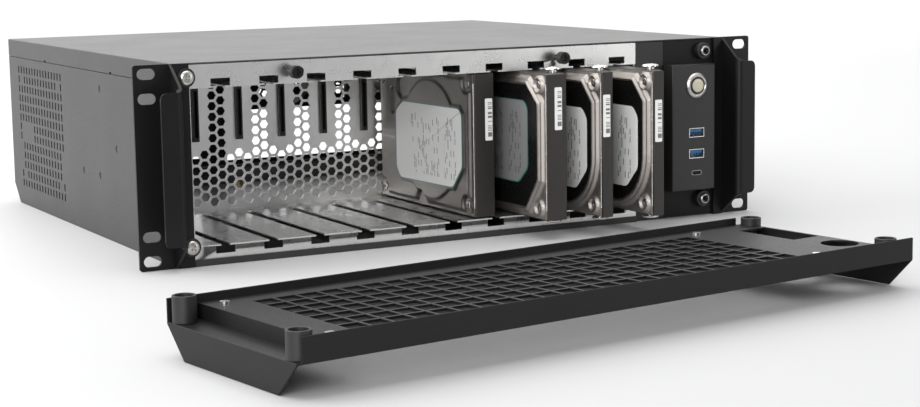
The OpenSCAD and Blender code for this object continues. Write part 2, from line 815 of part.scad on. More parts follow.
module drive_cover(n) {
    rise = cover_rise[n];
    step = rise * 0.55;
    step_inset = 3;
    color("#b8b9ba") {
        plate_yz(cast_x(n) - step, step) cover_outline(n, 0);
        plate_yz(cast_x(n) - rise, rise - step + eps) cover_outline(n, step_inset);
    }
}

module drive_board(n) {
    y = drive_y[n];
    color("#1c5a3c") block([pcb_x(n) - 2.6, y + 60, cage_z - drive_w / 2 + 7],
        [pcb_x(n) - 1, y + drive_l - 12, cage_z + drive_w / 2 - 7]);
}

module drive_screws(n) {
    color("#c9cbcd") for (hy = hole_ys) for (s = [0, 1])
        translate([bay_x(drive_bay[n]), drive_y[n] + hy, cage_z]) mirror([0, 0, s])
            translate([0, 0, drive_w / 2]) {
                translate([0, 0, -2.8]) cylinder(h = 3, r = 1.5);
                cylinder(h = shoulder_h + eps, r = shoulder_r);
                translate([0, 0, shoulder_h]) cylinder(h = guide_head[1], r = guide_head[0]);
            }
}

// Front cover, lying on its end flanges with its inside up
module lying() {
    translate([cover_x, cover_y, -half_h]) rotate([0, 0, cover_turn]) children();
}

module boss_places() {
    for (x = post_x) for (s = [-1, 1]) translate([x, s * post_z, 0]) children();
}

// The control windows, in the cover's lying frame
module cover_windows() {
    window = [22, 46];
    translate([ports_x, cover_up - button_z]) circle(barrel_r + 3.7);
    translate([ports_x, cover_up - (usb_z[0] + usb_c_z) / 2]) square(window, center = true);
}

module cover_frame() {
    half_l = cover_l / 2;
    half_c = cover_w / 2;
    near_from = -half_l + 3;
    far_to = post_x[1] - boss_r;
    color("#262628") lying() {
        translate([0, 0, plate_z]) linear_extrude(sheet) difference() {
            square([cover_l, cover_w], center = true);
            translate([grid_x + grid_l / 2, 0]) square([grid_l - 6, grid_w - 6], center = true);
            cover_windows();
        }
        for (x = [-half_l, half_l - sheet]) plate_yz(x, sheet)
            polygon([[-half_c, foot_h + sheet], [half_c, foot_h + sheet], [half_c, foot_h],
                [half_c - foot_h, 0], [foot_h - half_c, 0], [-half_c, foot_h]]);
        block([near_from, -half_c, plate_z], [half_l, -half_c + sheet, plate_z + flange_h]);
        block([-half_l, half_c - sheet, plate_z], [far_to, half_c, plate_z + flange_h]);
    }
}

module cover_tray() {
    tray_w = cover_w - 2 * sheet - 2 * gap;
    lip = tray_z - plate_z - sheet;
    color("#2c2c2e") lying() difference() {
        union() {
            block([tray_x[0], -tray_w / 2, tray_z], [tray_x[1], tray_w / 2, tray_z + sheet]);
            for (x = [tray_x[0], tray_x[1] - sheet])
                block([x, -tray_w / 2, tray_z - lip], [x + sheet, tray_w / 2, tray_z + eps]);
        }
        translate([0, 0, tray_z - 1]) linear_extrude(sheet + 2) {
            for (c = [0 : cell_cols - 1]) for (r = [0 : cell_rows - 1])
                translate([grid_x + bar + c * cell, bar - grid_w / 2 + r * cell])
                    square(cell - bar);
            cover_windows();
        }
        boss_places() cylinder(h = 2 * tray_z, r = boss_r + fit);
        tray_screw_places() cylinder(h = 2 * tray_z, r = tray_screw_r + 0.2);
    }
}

module tray_screw_places() {
    for (x = [tray_x[0] + 10, grid_x + grid_l + 9]) for (s = [-1, 1])
        translate([x, s * (grid_w / 2 + 2), 0]) children();
}

module cover_filter() {
    filter_t = 0.6;
    color("#101011") lying() translate([grid_x - 4, -grid_w / 2 - 4, tray_z - filter_t - 0.05])
        cube([grid_l + 8, grid_w + 8, filter_t]);
}

module cover_bosses() {
    fitted = 3.5 - handle_d;
    bore_r = post_screw_r + 0.4;
    floor_t = 3;
    color("#1f1f21") lying() for (i = [0, 1]) for (s = [-1, 1])
        translate([post_x[i], s * post_z, plate_z + sheet]) difference() {
            cylinder(h = post_end[i] - fitted - sheet, r = boss_r);
            translate([0, 0, floor_t]) cylinder(h = handle_d, r = bore_r);
        }
}

module cover_screws() {
    color("#a9abad") lying() tray_screw_places() {
        translate([0, 0, tray_z + sheet]) cylinder(h = 1.2, r = 2.8);
        translate([0, 0, plate_z + sheet]) cylinder(h = tray_z - plate_z + eps, r = tray_screw_r);
    }
}

base_tray();
lid();
lid_screws();
rear_panel();
ear(-1);  // ear_left
ear(1);  // ear_right
handle(-1, strip_w[0], true);  // handle_left
handle(1, strip_w[1], false);  // handle_right
cage_top();
cage_bottom();
cage_side(cage_left);  // cage_side_left
cage_side(cage_right - cage_t);  // cage_side_right
backplane_plate();
backplane_boards();
sata_connectors();
end_plate();
control_plate();
control_box();
button_bezel();
power_button();
button_switch();
usb_shells();
usb_tongues();
usb_c_shell();
usb_c_tongue();
io_board();
thumbscrew(screw_xs[0]);  // thumbscrew_left
thumbscrew(screw_xs[1]);  // thumbscrew_right
cover_posts();
post_screws();
board_standoffs();
slot_covers();
slot_screws();
fan_frame(fan_xs[0]);  // fan_left_frame
fan_rotor(fan_xs[0]);  // fan_left_rotor
fan_frame(fan_xs[1]);  // fan_right_frame
fan_rotor(fan_xs[1]);  // fan_right_rotor
fan_screws();
drive_case(0);  // drive_1_case
drive_cover(0);  // drive_1_cover
drive_board(0);  // drive_1_board
drive_screws(0);  // drive_1_screws
drive_case(1);  // drive_2_case
drive_cover(1);  // drive_2_cover
drive_board(1);  // drive_2_board
drive_screws(1);  // drive_2_screws
drive_case(2);  // drive_3_case
drive_cover(2);  // drive_3_cover
drive_board(2);  // drive_3_board
drive_screws(2);  // drive_3_screws
drive_case(3);  // drive_4_case
drive_cover(3);  // drive_4_cover
drive_board(3);  // drive_4_board
drive_screws(3);  // drive_4_screws
cover_frame();
cover_tray();
cover_filter();
cover_bosses();
cover_screws();
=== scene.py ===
import json
import math

import bmesh
import bpy
import numpy as np
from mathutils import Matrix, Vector

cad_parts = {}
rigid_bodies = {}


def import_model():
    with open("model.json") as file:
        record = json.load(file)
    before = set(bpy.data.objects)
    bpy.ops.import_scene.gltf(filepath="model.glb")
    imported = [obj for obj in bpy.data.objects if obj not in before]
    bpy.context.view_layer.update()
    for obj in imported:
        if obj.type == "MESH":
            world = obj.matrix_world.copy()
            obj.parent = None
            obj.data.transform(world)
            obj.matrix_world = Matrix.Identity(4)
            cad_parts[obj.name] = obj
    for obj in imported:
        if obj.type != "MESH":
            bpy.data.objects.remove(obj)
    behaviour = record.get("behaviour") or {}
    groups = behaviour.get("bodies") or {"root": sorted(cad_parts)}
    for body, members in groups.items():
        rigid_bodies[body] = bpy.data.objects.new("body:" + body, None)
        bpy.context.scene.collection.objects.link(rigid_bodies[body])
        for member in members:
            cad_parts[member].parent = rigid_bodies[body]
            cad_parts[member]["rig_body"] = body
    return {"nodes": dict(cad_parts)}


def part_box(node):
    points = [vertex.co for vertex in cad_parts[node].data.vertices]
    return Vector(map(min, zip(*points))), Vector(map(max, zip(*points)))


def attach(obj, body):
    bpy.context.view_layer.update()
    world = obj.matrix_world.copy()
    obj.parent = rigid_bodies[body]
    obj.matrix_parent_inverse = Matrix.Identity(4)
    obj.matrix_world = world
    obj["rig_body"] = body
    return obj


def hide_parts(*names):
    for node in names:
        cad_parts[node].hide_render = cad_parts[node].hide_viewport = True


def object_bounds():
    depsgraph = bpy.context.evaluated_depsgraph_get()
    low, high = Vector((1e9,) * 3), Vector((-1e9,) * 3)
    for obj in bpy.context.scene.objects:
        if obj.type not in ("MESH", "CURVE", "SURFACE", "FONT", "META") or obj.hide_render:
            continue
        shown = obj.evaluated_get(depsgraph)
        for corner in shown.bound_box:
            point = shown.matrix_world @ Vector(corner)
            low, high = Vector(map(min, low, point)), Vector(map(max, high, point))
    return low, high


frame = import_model()
cad_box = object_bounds()
MM = 0.001

# Camera fitted to the photograph: place in metres, turn in degrees, lens for a 36 mm sensor
CAMERA_PLACE = (-0.6290, -1.1474, 0.1460)
CAMERA_TURN = (81.849, 0.889, -28.57)
CAMERA_LENS = 73.95
SENSOR = 36.0

# Radius of the rack ears' outer corners, in millimetres
EAR_CORNER = 1.8

# Drives, in millimetres: outside size, step of the lids' height grid, bead along a lid's front edge, drawn
# bright as a painted highlight
DRIVE_LENGTH = 147.0
DRIVE_WIDTH = 101.6
COVER_STEP = 0.8
HIGHLIGHT_BEAD = 0.4
BEAD_END = 6.5
BEAD_TAPER = 0.4
BEAD_PLACE = (-0.3, 0.7)

# Control panel and post screws, in millimetres
LENS_RADIUS = 5.0
POST_HEAD = 4.6
POST_HEAD_H = 2.2
CUP_HEAD = 3.8
POST_FRONTS = (-5.2, -6.7)

# Fans, in millimetres
FAN_BLADES = 7
FAN_REACH = 27.4
BLADE_ROOT = 13.7
BLADE_CHORD = 13.0
BLADE_STEPS = 8
BLADE_THICK = 1.1

# Front cover as it lies: place, turn in degrees, and its filter above the floor
COVER_PLACE = (-91.0, -276.0)
COVER_TURN = 8.0
FILTER_LEFT = -177.0
FILTER_SIZE = (316.0, 101.0)
FILTER_LEVEL = 24.5
STRAND_STEP = 1.4
STRAND_HALF = 0.2


# Node helpers

def node(tree, kind, values=None, **settings):
    """Adds a shader node, with values for its sockets and settings for its properties."""
    made = tree.nodes.new(kind)
    for key, value in settings.items():
        setattr(made, key, value)
    for key, value in (values or {}).items():
        made.inputs[key].default_value = value
    return made


def link(tree, out, into):
    tree.links.new(out, into)


def new_material(name):
    """A material with its node tree and its main shader."""
    made = bpy.data.materials.new(name)
    made.use_nodes = True
    return made, made.node_tree, made.node_tree.nodes["Principled BSDF"]


def coordinates(tree, kind="Object"):
    return node(tree, "ShaderNodeTexCoord").outputs[kind]


def noise(tree, where, scale, detail=2.0, rough=0.5):
    made = node(tree, "ShaderNodeTexNoise", {"Scale": scale, "Detail": detail, "Roughness": rough})
    link(tree, where, made.inputs["Vector"])
    return made.outputs["Fac"]


def spread(tree, value, low, high, start=0.3, end=0.7):
    """Maps a value from start..end to low..high."""
    made = node(tree, "ShaderNodeMapRange", {"From Min": start, "From Max": end,
                                             "To Min": low, "To Max": high})
    link(tree, value, made.inputs["Value"])
    return made.outputs["Result"]


def math_node(tree, operation, a, b=0.0):
    made = node(tree, "ShaderNodeMath", operation=operation)
    for socket, value in zip(made.inputs, (a, b)):
        if isinstance(value, (int, float)):
            socket.default_value = value
        else:
            link(tree, value, socket)
    return made.outputs[0]


def mix_colors(tree, fac, first, second):
    """Blends two colours, each a tuple or a socket."""
    made = node(tree, "ShaderNodeMix", data_type="RGBA")
    link(tree, fac, made.inputs["Factor"])
    for socket, color in ((made.inputs[6], first), (made.inputs[7], second)):
        if isinstance(color, tuple):
            socket.default_value = (*color, 1.0)
        else:
            link(tree, color, socket)
    return made.outputs[2]


def bump(tree, shader, height, strength, depth):
    made = node(tree, "ShaderNodeBump", {"Strength": strength, "Distance": depth})
    link(tree, height, made.inputs["Height"])
    link(tree, made.outputs["Normal"], shader.inputs["Normal"])


def shade(color, factor):
    return tuple(c * factor for c in color)


# Finishes

def painted(name, color, roughness, grain=0.12, grain_size=0.7, specular=0.5):
    """Satin powder coat: a fine pebbled skin and slow changes of tone and gloss."""
    made, tree, shader = new_material(name)
    where = coordinates(tree)
    pebbles = noise(tree, where, 1000 / grain_size, 3)
    slow = noise(tree, where, 18, 3)
    color_out = mix_colors(tree, spread(tree, slow, 0, 1), shade(color, 0.93), shade(color, 1.07))
    link(tree, color_out, shader.inputs["Base Color"])
    gloss = math_node(tree, "ADD", spread(tree, slow, roughness - 0.02, roughness + 0.02),
                      spread(tree, pebbles, -0.05, 0.05))
    link(tree, gloss, shader.inputs["Roughness"])
    shader.inputs["Specular IOR Level"].default_value = specular
    bump(tree, shader, pebbles, grain, 0.15 * MM)
    return made


def galvanised(name, color, roughness, spangle=6.0, contrast=0.03):
    """Bare zinc-coated sheet: crystals of slightly different tone and gloss, with a fine grain."""
    made, tree, shader = new_material(name)
    where = coordinates(tree)
    warp = node(tree, "ShaderNodeTexNoise", {"Scale": 90.0, "Detail": 2.0})
    link(tree, where, warp.inputs["Vector"])
    moved = node(tree, "ShaderNodeVectorMath", operation="MULTIPLY_ADD")
    link(tree, warp.outputs["Color"], moved.inputs[0])
    moved.inputs[1].default_value = (0.002, 0.002, 0.002)
    link(tree, where, moved.inputs[2])
    cells = node(tree, "ShaderNodeTexVoronoi", {"Scale": 1000 / spangle, "Smoothness": 0.6},
                 feature="SMOOTH_F1")
    link(tree, moved.outputs[0], cells.inputs["Vector"])
    tone = node(tree, "ShaderNodeSeparateColor")
    link(tree, cells.outputs["Color"], tone.inputs["Color"])
    fine = noise(tree, where, 700, 4, 0.6)
    both = math_node(tree, "ADD", math_node(tree, "MULTIPLY", tone.outputs["Red"], 0.6),
                     math_node(tree, "MULTIPLY", fine, 0.4))
    color_out = mix_colors(tree, spread(tree, both, 0, 1, 0.1, 0.9),
                           shade(color, 1 - contrast), shade(color, 1 + contrast))
    link(tree, color_out, shader.inputs["Base Color"])
    link(tree, spread(tree, both, roughness - 0.03, roughness + 0.03, 0.1, 0.9),
         shader.inputs["Roughness"])
    shader.inputs["Metallic"].default_value = 1.0
    bump(tree, shader, fine, 0.012, 0.1 * MM)
    return made


def bright_metal(name, color, roughness, scale=260, contrast=0.06):
    """Plated or machined metal with faint streaks in its gloss."""
    made, tree, shader = new_material(name)
    where = coordinates(tree)
    streaks = noise(tree, where, scale, 4, 0.6)
    color_out = mix_colors(tree, spread(tree, streaks, 0, 1), shade(color, 1 - contrast),
                           shade(color, 1 + contrast))
    link(tree, color_out, shader.inputs["Base Color"])
    link(tree, spread(tree, streaks, roughness - 0.06, roughness + 0.06), shader.inputs["Roughness"])
    shader.inputs["Metallic"].default_value = 1.0
    bump(tree, shader, streaks, 0.03, 0.1 * MM)
    return made


def plastic(name, color, roughness, grain=0.1, scale=1600, coat=0.0):
    """Moulded plastic with a fine spark-eroded grain."""
    made, tree, shader = new_material(name)
    where = coordinates(tree)
    grains = noise(tree, where, scale, 3)
    slow = noise(tree, where, 30, 2)
    color_out = mix_colors(tree, spread(tree, slow, 0, 1), shade(color, 0.9), shade(color, 1.1))
    link(tree, color_out, shader.inputs["Base Color"])
    link(tree, spread(tree, grains, roughness - 0.06, roughness + 0.06), shader.inputs["Roughness"])
    shader.inputs["Coat Weight"].default_value = coat
    bump(tree, shader, grains, grain, 0.1 * MM)
    return made


def circuit_board(name, color):
    """Solder mask with lighter tracks under it."""
    made, tree, shader = new_material(name)
    where = coordinates(tree)
    turned = node(tree, "ShaderNodeMapping")
    turned.inputs["Rotation"].default_value = (0.0, math.radians(90), math.radians(90))
    link(tree, where, turned.inputs["Vector"])
    tracks = node(tree, "ShaderNodeTexBrick", {"Scale": 1.0, "Mortar Size": 0.00025,
                                               "Brick Width": 0.011, "Row Height": 0.0017})
    tracks.inputs["Color1"].default_value = (*shade(color, 0.75), 1)
    tracks.inputs["Color2"].default_value = (*color, 1)
    tracks.inputs["Mortar"].default_value = (*shade(color, 1.7), 1)
    link(tree, turned.outputs[0], tracks.inputs["Vector"])
    link(tree, tracks.outputs["Color"], shader.inputs["Base Color"])
    link(tree, spread(tree, noise(tree, where, 400), 0.28, 0.42), shader.inputs["Roughness"])
    bump(tree, shader, tracks.outputs["Fac"], 0.15, 0.05 * MM)
    return made


def printed_label(name, paper, ink, metallic):
    """A label with plain rows of short dashes in two blocks; its map is in millimetres."""
    made, tree, shader = new_material(name)
    where = coordinates(tree, "UV")
    rows = node(tree, "ShaderNodeTexBrick", {"Scale": 1.0, "Mortar Size": 0.55, "Mortar Smooth": 0.0,
                                             "Brick Width": 5.5, "Row Height": 2.1, "Bias": -0.1},
                offset=0.37, offset_frequency=2, squash=1.6, squash_frequency=3)
    link(tree, where, rows.inputs["Vector"])
    rows.inputs["Color1"].default_value = (0, 0, 0, 1)
    rows.inputs["Color2"].default_value = (1, 1, 1, 1)
    rows.inputs["Mortar"].default_value = (0, 0, 0, 1)
    split = node(tree, "ShaderNodeSeparateXYZ")
    link(tree, where, split.inputs["Vector"])
    across, along = split.outputs["X"], split.outputs["Y"]
    dashes = math_node(tree, "GREATER_THAN", rows.outputs["Color"], 0.55)
    first = math_node(tree, "MULTIPLY", math_node(tree, "GREATER_THAN", along, 8.0),
                      math_node(tree, "LESS_THAN", along, 26.0))
    second = math_node(tree, "MULTIPLY", math_node(tree, "GREATER_THAN", along, 34.0),
                       math_node(tree, "LESS_THAN", along, 78.0))
    inside = math_node(tree, "MULTIPLY", math_node(tree, "GREATER_THAN", across, 6.0),
                       math_node(tree, "LESS_THAN", across, 50.0))
    marks = math_node(tree, "MULTIPLY", math_node(tree, "MULTIPLY", dashes, inside),
                      math_node(tree, "ADD", first, second))
    fibres = noise(tree, where, 1.3, 4, 0.6)
    sheet = mix_colors(tree, spread(tree, fibres, 0, 1), shade(paper, 0.94), shade(paper, 1.04))
    link(tree, mix_colors(tree, math_node(tree, "MULTIPLY", marks, 0.75), sheet, ink),
         shader.inputs["Base Color"])
    link(tree, spread(tree, fibres, 0.34, 0.46), shader.inputs["Roughness"])
    shader.inputs["Metallic"].default_value = metallic
    return made


def bar_sticker(name, paper, ink):
    """A white sticker with a column of plain bars; its map is in millimetres."""
    made, tree, shader = new_material(name)
    where = coordinates(tree, "UV")
    split = node(tree, "ShaderNodeSeparateXYZ")
    link(tree, where, split.inputs["Vector"])
    across, along = split.outputs["X"], split.outputs["Y"]
    steps = math_node(tree, "FLOOR", math_node(tree, "MULTIPLY", along, 1.9))
    chance = node(tree, "ShaderNodeTexWhiteNoise", noise_dimensions="1D")
    link(tree, steps, chance.inputs["W"])
    bars = math_node(tree, "GREATER_THAN", chance.outputs["Value"], 0.5)
    wide = math_node(tree, "MULTIPLY", math_node(tree, "GREATER_THAN", across, 2.2),
                     math_node(tree, "LESS_THAN", across, 5.4))
    tall = math_node(tree, "MULTIPLY", math_node(tree, "GREATER_THAN", along, 2.5),
                     math_node(tree, "LESS_THAN", along, 27.0))
    mask = math_node(tree, "MULTIPLY", bars, math_node(tree, "MULTIPLY", wide, tall))
    fibres = noise(tree, where, 2.0, 4, 0.6)
    sheet = mix_colors(tree, spread(tree, fibres, 0, 1), shade(paper, 0.95), paper)
    link(tree, mix_colors(tree, math_node(tree, "MULTIPLY", mask, 0.85), sheet, ink),
         shader.inputs["Base Color"])
    link(tree, spread(tree, fibres, 0.4, 0.55), shader.inputs["Roughness"])
    return made


finish = {
    "case": painted("case_paint", (0.022, 0.0215, 0.021), 0.40),
    # The front finish is the case's black paint made darker: painted shade on the faces turned to the front.
    "front": painted("front_paint_shaded", (0.0045, 0.0045, 0.0046), 0.42, specular=0.26),
    "cover": painted("cover_paint", (0.009, 0.009, 0.009), 0.42, grain_size=0.9, specular=0.2),
    "zinc": galvanised("zinc_sheet", (0.74, 0.74, 0.73), 0.29),
    "zinc_dark": galvanised("zinc_backplane", (0.80, 0.80, 0.80), 0.32),
    "steel": bright_metal("plated_steel", (0.74, 0.72, 0.69), 0.24),
    "lid_screw": bright_metal("drive_lid_screw", (0.42, 0.41, 0.40), 0.32),
    "rim": bright_metal("drive_rim", (0.37, 0.34, 0.318), 0.47, contrast=0.06),
    "lid_metal": bright_metal("drive_lid_metal", (0.20, 0.188, 0.175), 0.38, scale=120, contrast=0.08),
    "casting": painted("drive_casting", (0.016, 0.0142, 0.0125), 0.45, grain=0.2, grain_size=0.5),
    "field": painted("drive_field", (0.0055, 0.0053, 0.0052), 0.30, grain=0.01, grain_size=4.0, specular=0.3),
    "plastic": plastic("black_plastic", (0.010, 0.010, 0.0105), 0.5),
    "panel": painted("panel_plastic", (0.0045, 0.0045, 0.0046), 0.46, specular=0.22),
    "box": painted("box_plastic", (0.016, 0.0155, 0.015), 0.46, specular=0.45),
    "screw": bright_metal("black_zinc", (0.035, 0.035, 0.036), 0.38),
    "lens": plastic("button_lens", (0.56, 0.53, 0.40), 0.28, grain=0.02, coat=0.4),
    "ring": bright_metal("button_ring", (0.58, 0.565, 0.54), 0.30),
    "blue": plastic("blue_plastic", (0.008, 0.10, 0.27), 0.35, grain=0.03),
    "board": circuit_board("board_mask", (0.02, 0.10, 0.055)),
    "brass": bright_metal("turned_brass", (0.62, 0.45, 0.17), 0.28),
    "mesh": plastic("woven_nylon", (0.012, 0.012, 0.012), 0.6),
    "label": printed_label("drive_label", (0.74, 0.74, 0.73), (0.06, 0.06, 0.065), 0.15),
    "label_pale": printed_label("pale_label", (0.94, 0.94, 0.93), (0.06, 0.06, 0.065), 0.15),
    # Drive 2's label paper is darkened: painted shade on a label that lies in shade between the drives.
    "label_shaded": printed_label("shaded_label", (0.24, 0.24, 0.24), (0.03, 0.03, 0.032), 0.15),
    "teal": plastic("label_edge", (0.05, 0.16, 0.15), 0.4, grain=0.02),
    "sticker": bar_sticker("bar_sticker", (0.80, 0.80, 0.78), (0.05, 0.05, 0.05)),
}


# Pieces

def add_piece(name, mesh, body, finishes, stands_for=()):
    """Puts a finished mesh into the scene, riding on a body."""
    made = bpy.data.objects.new(name, mesh)
    bpy.context.scene.collection.objects.link(made)
    for f in finishes:
        mesh.materials.append(finish[f])
    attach(made, body)
    if stands_for:
        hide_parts(*stands_for)
    return made


def mesh_from(bm, name, smooth_angle=40.0):
    """Turns a bmesh into a mesh with outward faces and smooth shading below an angle."""
    bmesh.ops.recalc_face_normals(bm, faces=bm.faces)
    mesh = bpy.data.meshes.new(name)
    bm.to_mesh(mesh)
    bm.free()
    mesh.shade_smooth()
    mesh.set_sharp_from_angle(angle=math.radians(smooth_angle))
    return mesh


def round_ear_corners(bm, cad_node):
    """Rounds the two outer corners of a rack ear."""
    low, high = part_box(cad_node)
    outer = max(low.x, high.x, key=abs)
    near = 0.01 * MM

    def at_corner(vert):
        return abs(vert.co.x - outer) < near and min(abs(vert.co.z - low.z), abs(vert.co.z - high.z)) < near

    edges = [e for e in bm.edges if all(at_corner(v) for v in e.verts)
             and abs(e.verts[0].co.y - e.verts[1].co.y) > near]
    bmesh.ops.bevel(bm, geom=edges, offset=EAR_CORNER * MM, offset_type="OFFSET", segments=5,
                    profile=0.5, affect="EDGES")


def softened(cad_node, radius, look, segments=2, longer_than=0.0):
    """A copy of a CAD node with its sharp edges rounded, shown in its place."""
    source = frame["nodes"][cad_node]
    bm = bmesh.new()
    bm.from_mesh(source.data)
    bmesh.ops.remove_doubles(bm, verts=bm.verts, dist=1e-6)
    bmesh.ops.dissolve_limit(bm, angle_limit=math.radians(0.3), verts=bm.verts, edges=bm.edges)
    if cad_node.startswith("ear_"):
        round_ear_corners(bm, cad_node)
    sharp = [e for e in bm.edges if len(e.link_faces) == 2
             and e.calc_face_angle() > math.radians(35) and e.calc_length() > longer_than * MM]
    bmesh.ops.bevel(bm, geom=sharp, offset=radius * MM, offset_type="OFFSET", segments=segments,
                    profile=0.5, affect="EDGES", clamp_overlap=True)
    mesh = mesh_from(bm, cad_node + "_soft", 50.0)
    made = add_piece(cad_node + "_soft", mesh, source["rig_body"], [look],
                     [cad_node])
    made.modifiers.new("weighted normals", "WEIGHTED_NORMAL").keep_sharp = True
    return made


def dress(cad_node, look):
    """Gives a CAD node that keeps its shape a finish."""
    frame["nodes"][cad_node].material_slots[0].material = finish[look]


def turn(bm, profile, place, axis, steps=32):
    """Adds a turned shape: pairs of radius and height along an axis, in millimetres, from a place."""
    axis = Vector(axis).normalized()
    side = axis.orthogonal().normalized()
    across = axis.cross(side)
    rings = []
    for radius, height in profile:
        middle = Vector(place) + axis * height * MM
        ring = []
        for i in range(1 if radius == 0 else steps):
            angle = 2 * math.pi * i / steps
            reach = radius(angle) if callable(radius) else radius
            ring.append(bm.verts.new(middle + (side * math.cos(angle) + across * math.sin(angle))
                                     * reach * MM))
        rings.append(ring)
    for low, high in zip(rings, rings[1:]):
        for i in range(steps):
            j = (i + 1) % steps
            corners = [low[i % len(low)], low[j % len(low)], high[j % len(high)], high[i % len(high)]]
            bm.faces.new(list(dict.fromkeys(corners)))


def star(radius, depth):
    """Radius of a six-lobed driver recess."""
    return lambda angle: radius + depth * math.cos(6 * angle)


# Drives. Places on a drive's cover are u, back from its front, and v, up from its lower side

def ramp(depth, start, width):
    """Smooth step from 0 to 1 while depth grows from start by width."""
    t = np.clip((depth - start) / width, 0.0, 1.0)
    return t * t * (3 - 2 * t)


def depth_in_outline(u, v, corners):
    """Depth inside a convex outline whose corners run anticlockwise; negative outside."""
    depth = np.full(u.shape, np.inf)
    for (u0, v0), (u1, v1) in zip(corners, corners[1:] + corners[:1]):
        length = math.hypot(u1 - u0, v1 - v0)
        depth = np.minimum(depth, ((u1 - u0) * (v - v0) - (v1 - v0) * (u - u0)) / length)
    return depth


def depth_in_circle(u, v, middle, radius):
    return radius - np.hypot(u - middle[0], v - middle[1])


def arc(middle, radius, start, end, steps=10):
    """Points on a circle between two angles in degrees."""
    angles = [math.radians(start + (end - start) * i / steps) for i in range(steps + 1)]
    return [(middle[0] + radius * math.cos(a), middle[1] + radius * math.sin(a)) for a in angles]


COVER_FRONT = 2.0
COVER_LOW = 2.5
COVER_HIGH = 99.1
REAR_CORNERS = arc((136.0, 9.5), 7.0, -90, 0, 5) + arc((136.0, 92.1), 7.0, 0, 90, 5)
CUT_OUTLINE = [(COVER_FRONT, 27.0), (20.5, COVER_LOW)] + REAR_CORNERS + [
    (20.0, COVER_HIGH), (COVER_FRONT, 83.0)]
ROUND_OUTLINE = arc((42.0, 42.5), 40.0, 180, 270, 12) + REAR_CORNERS + [
    (18.0, COVER_HIGH), (COVER_FRONT, 82.0)]
PRESSED_OUTLINE = arc((10.0, 10.5), 8.0, 180, 270, 6) + REAR_CORNERS + arc((10.0, 91.1), 8.0, 90, 180, 6)
LABEL_1 = [(12.0, 35.0), (26.0, 19.5), (108.0, 18.5), (114.0, 26.0), (114.0, 68.0), (102.0, 75.5),
           (16.0, 76.0), (12.0, 72.0)]
LABEL_2 = [(20.5, 36.0), (33.0, 25.0), (114.0, 25.0), (118.0, 30.0), (118.0, 78.0), (113.0, 82.0),
           (25.0, 82.0), (20.5, 77.5)]
LABEL_3 = [(12.8, 33.0), (27.0, 18.5), (112.0, 18.5), (116.0, 24.0), (116.0, 72.0), (112.0, 76.0),
           (19.0, 76.0), (12.8, 69.0)]
DISC_BULGE = ((62.0, 50.5), 45.0)
POCKET = ((106.0, 86.0), 10.0)
NOTCH = ((78.0, 4.0), 8.5)
SLOT_BACK = 122.0
SLOT_SPAN = (68.0, 82.0)
SLOT_HALF = 4.2
LUG_RADIUS = 7.6
SCREW_RING = 5.0
FRONT_SCREWS = [(8.0, 94.0), (8.5, 8.5)]
REAR_SCREWS = [(139.0, 94.0), (139.0, 8.0)]
STICKER_PLACES = {1: (8.6, 54.2), 2: (6.4, 63.0), 3: (1.2, 56.5), 4: (1.8, 52.0)}


def framed_height(u, v, rise, outline):
    """Two steps up to a shallow field, with a raised ring round each front screw."""
    depth = depth_in_outline(u, v, outline)
    height = 0.6 + (rise * 0.5) * ramp(depth, -0.2, 1.5)
    height += (rise * 0.5 - 0.6) * ramp(depth, 2.4, 1.4)
    height -= 0.4 * ramp(depth, 4.6, 1.0)
    for place in FRONT_SCREWS:
        ring = np.hypot(u - place[0], v - place[1])
        height = np.maximum(height, 0.6 + 2.4 * np.exp(-((ring - SCREW_RING) / 1.1) ** 2))
    return height, depth > 4.9


def pressed_height(u, v, rise, outline):
    """A pressed lid: soft walls, a round bulge over the discs, a pocket, a slot and a notch."""
    depth = depth_in_outline(u, v, outline)
    level = rise - 1.5
    height = 0.6 + (level - 0.6) * ramp(depth, 0.0, 3.2)
    disc = depth_in_circle(u, v, *DISC_BULGE)
    height += 1.1 * ramp(disc, 0.0, 2.6)
    pad = depth_in_outline(u, v, LABEL_1)
    height = height * (1 - ramp(pad, -3.0, 1.6)) + (rise - 0.25) * ramp(pad, -3.0, 1.6)
    pocket = depth_in_circle(u, v, *POCKET)
    height -= 1.9 * ramp(pocket, 0.0, 2.4) * (1 - ramp(pad, -3.5, 1.6))
    slot = SLOT_HALF - np.hypot(u - SLOT_BACK, v - np.clip(v, *SLOT_SPAN))
    height -= 1.7 * ramp(slot, 0.0, 2.0)
    notch = depth_in_circle(u, v, *NOTCH)
    height = height * (1 - ramp(notch, 0.0, 2.2)) + 0.7 * ramp(notch, 0.0, 2.2)
    for place in FRONT_SCREWS + REAR_SCREWS:
        lug = depth_in_circle(u, v, place, LUG_RADIUS)
        height = height * (1 - ramp(lug, 0.0, 2.0)) + 0.9 * ramp(lug, 0.0, 2.0)
    return height, depth > 1e6


